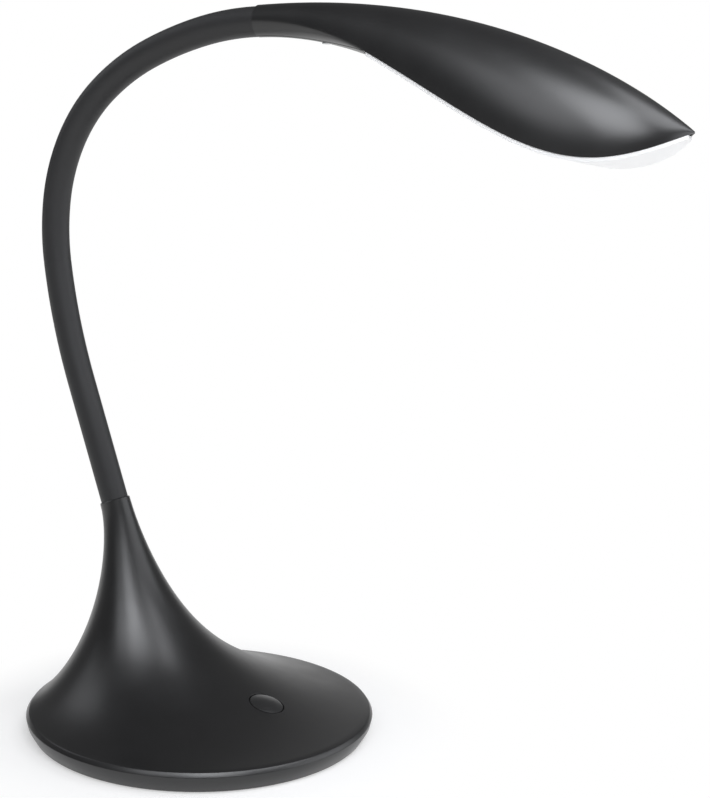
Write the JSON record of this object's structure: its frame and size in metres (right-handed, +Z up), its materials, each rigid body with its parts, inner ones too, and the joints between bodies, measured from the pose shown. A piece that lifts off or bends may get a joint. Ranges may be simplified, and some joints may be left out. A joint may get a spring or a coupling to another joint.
{
  "type": "gooseneck desk lamp",
  "caption": "Desk lamp with a round weighted base rising into a horn, a flexible neck, and a leaf-shaped head with an opal diffuser underneath.",
  "frame": {"origin": "middle of the round base, on the table", "axes": "+X towards the head, +Y to the lamp's left, +Z up"},
  "size_m": [0.3421, 0.18, 0.367],
  "materials": {
    "body_plastic": "satin black",
    "button_plastic": "satin black",
    "cover_plastic": "matt black",
    "mat_rubber": "matt",
    "weight_steel": "plain",
    "screw_steel": "zinc plated",
    "sleeve_rubber": "smooth matt",
    "conduit_steel": "plain",
    "brass": "turned",
    "board_laminate": "solder mask",
    "board_aluminium": "white solder mask",
    "plate_aluminium": "plain",
    "led_resin": "phosphor resin",
    "parts_plastic": "black",
    "socket_plastic": "natural nylon",
    "lead_insulation": "soft PVC",
    "coil_copper": "enamelled winding",
    "can_aluminium": "printed film",
    "opal_plastic": "opal"
  },
  "bodies": {
    "base": {"base_shell": "body_plastic", "base_cover": "cover_plastic", "base_mat": "mat_rubber", "ballast_plate": "weight_steel", "cover_screws": "screw_steel", "neck_bush": "brass", "bush_washer": "screw_steel", "bush_nut": "screw_steel", "switch_body": "parts_plastic", "switch_board": "board_laminate", "driver_board": "board_laminate", "board_spacers": "socket_plastic", "board_screws": "screw_steel", "driver_coil": "coil_copper", "driver_capacitors": "can_aluminium", "driver_parts": "parts_plastic", "dc_jack": "parts_plastic", "base_leads": "lead_insulation", "neck_sleeve_1": "sleeve_rubber", "neck_conduit_1": "conduit_steel", "neck_leads_1": "lead_insulation"},
    "link_2": {"neck_sleeve_2": "sleeve_rubber", "neck_conduit_2": "conduit_steel", "neck_leads_2": "lead_insulation"},
    "link_3": {"neck_sleeve_3": "sleeve_rubber", "neck_conduit_3": "conduit_steel", "neck_leads_3": "lead_insulation"},
    "link_4": {"neck_sleeve_4": "sleeve_rubber", "neck_conduit_4": "conduit_steel", "neck_leads_4": "lead_insulation"},
    "link_5": {"neck_sleeve_5": "sleeve_rubber", "neck_conduit_5": "conduit_steel", "neck_leads_5": "lead_insulation"},
    "link_6": {"neck_sleeve_6": "sleeve_rubber", "neck_conduit_6": "conduit_steel", "neck_leads_6": "lead_insulation"},
    "link_7": {"neck_sleeve_7": "sleeve_rubber", "neck_conduit_7": "conduit_steel", "neck_leads_7": "lead_insulation"},
    "link_8": {"neck_sleeve_8": "sleeve_rubber", "neck_conduit_8": "conduit_steel", "neck_leads_8": "lead_insulation"},
    "link_9": {"neck_sleeve_9": "sleeve_rubber", "neck_conduit_9": "conduit_steel", "neck_leads_9": "lead_insulation"},
    "head": {"neck_sleeve_10": "sleeve_rubber", "neck_conduit_10": "conduit_steel", "neck_leads_10": "lead_insulation", "head_shell": "body_plastic", "stem_cover": "body_plastic", "diffuser": "opal_plastic", "led_board": "board_aluminium", "heat_plate": "plate_aluminium", "leds": "led_resin", "head_socket": "socket_plastic", "head_clamp": "brass", "head_screws": "screw_steel", "head_leads": "lead_insulation"},
    "button": {"switch_button": "button_plastic", "switch_plunger": "socket_plastic"}
  },
  "joints": [
    {"name": "neck_bend_1", "type": "hinge", "parent": "base", "child": "link_2", "pos_m": [-0.06996, 0, 0.14331], "axis": [0, 1, 0], "range_deg": [-9, 7]},
    {"name": "neck_side_2", "type": "hinge", "parent": "link_2", "child": "link_3", "pos_m": [-0.08151, 0, 0.17422], "axis": [0.9367, 0, 0.3502], "range_deg": [-12, 12]},
    {"name": "neck_bend_3", "type": "hinge", "parent": "link_3", "child": "link_4", "pos_m": [-0.09157, 0, 0.20564], "axis": [0, 1, 0], "range_deg": [-9, 7]},
    {"name": "neck_bend_4", "type": "hinge", "parent": "link_4", "child": "link_5", "pos_m": [-0.09843, 0, 0.2379], "axis": [0, 1, 0], "range_deg": [-9, 7]},
    {"name": "neck_side_5", "type": "hinge", "parent": "link_5", "child": "link_6", "pos_m": [-0.09915, 0, 0.27079], "axis": [0.9936, 0, -0.1132], "range_deg": [-12, 12]},
    {"name": "neck_bend_6", "type": "hinge", "parent": "link_6", "child": "link_7", "pos_m": [-0.08969, 0, 0.30223], "axis": [0, 1, 0], "range_deg": [-12, 4]},
    {"name": "neck_bend_7", "type": "hinge", "parent": "link_7", "child": "link_8", "pos_m": [-0.06928, 0, 0.32788], "axis": [0, 1, 0], "range_deg": [-12, 4]},
    {"name": "neck_side_8", "type": "hinge", "parent": "link_8", "child": "link_9", "pos_m": [-0.04125, 0, 0.34506], "axis": [0.3907, 0, -0.9205], "range_deg": [-12, 12]},
    {"name": "neck_bend_9", "type": "hinge", "parent": "link_9", "child": "head", "pos_m": [-0.0099, 0, 0.35524], "axis": [0, 1, 0], "range_deg": [-12, 4]},
    {"name": "button_press", "type": "slide", "parent": "base", "child": "button", "axis": [-0.2707, 0, -0.9627], "range_m": [0, 0.0008], "stiffness_N_per_m": 600, "springref_m": -0.0012}
  ],
  "couplings": [
    {"joint": "neck_bend_3", "follows": "neck_bend_1", "ratio": 1},
    {"joint": "neck_bend_4", "follows": "neck_bend_1", "ratio": 1},
    {"joint": "neck_bend_7", "follows": "neck_bend_6", "ratio": 1},
    {"joint": "neck_bend_9", "follows": "neck_bend_6", "ratio": 1},
    {"joint": "neck_side_5", "follows": "neck_side_2", "ratio": 1},
    {"joint": "neck_side_8", "follows": "neck_side_2", "ratio": 1}
  ]
}
